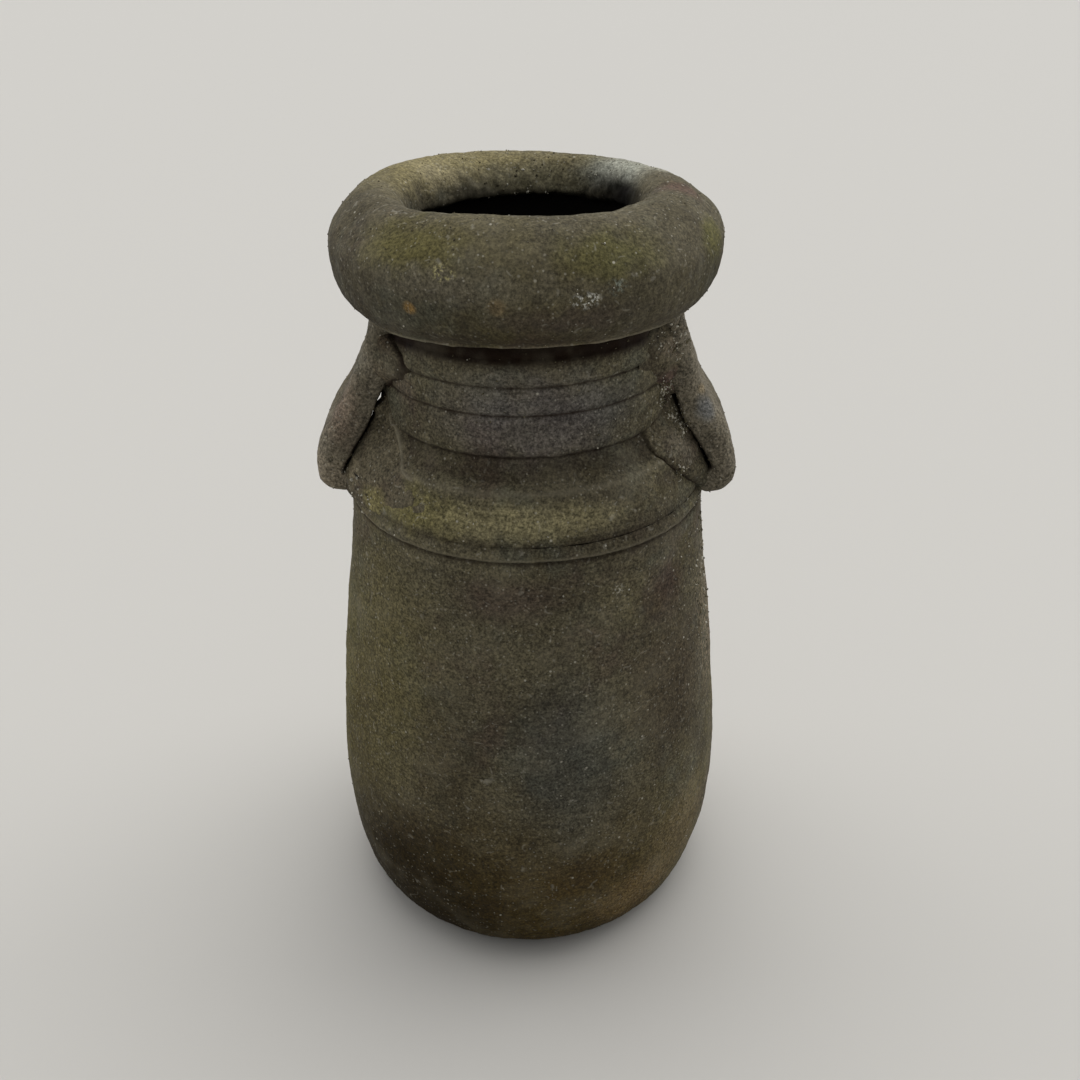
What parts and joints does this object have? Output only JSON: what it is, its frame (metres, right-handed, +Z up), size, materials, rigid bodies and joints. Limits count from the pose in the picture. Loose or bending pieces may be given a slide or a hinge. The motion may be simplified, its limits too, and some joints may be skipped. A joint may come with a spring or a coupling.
{
  "type": "unglazed black clay jar",
  "caption": "Tall unglazed black clay jar with a thick rolled rim, a ribbed neck, a belted shoulder and folded side lugs; holds flowers, water or utensils.",
  "frame": {"origin": "centre of the underside, on the surface the jar stands on", "axes": "+Z up along the jar's axis, +X through the right lug, -Y towards the front"},
  "size_m": [0.144, 0.144, 0.262],
  "materials": {
    "turned_clay": "matte unglazed reduction-fired clay, fine grit",
    "rim_clay": "matte unglazed reduction-fired clay, worn smoother",
    "lug_clay": "matte unglazed reduction-fired clay, hand pressed",
    "luting_clay": "matte unglazed clay, coarse and smeared"
  },
  "bodies": {
    "root": {"floor_disc": "turned_clay", "belly_wall": "turned_clay", "joint_belt": "turned_clay", "shoulder_wall": "turned_clay", "neck_wall": "turned_clay", "throat_wall": "rim_clay", "rim_roll": "rim_clay", "right_lug": "lug_clay", "left_lug": "lug_clay", "right_lug_top_pad": "luting_clay", "left_lug_top_pad": "luting_clay", "right_lug_foot_pad": "luting_clay", "left_lug_foot_pad": "luting_clay"}
  },
  "joints": []
}
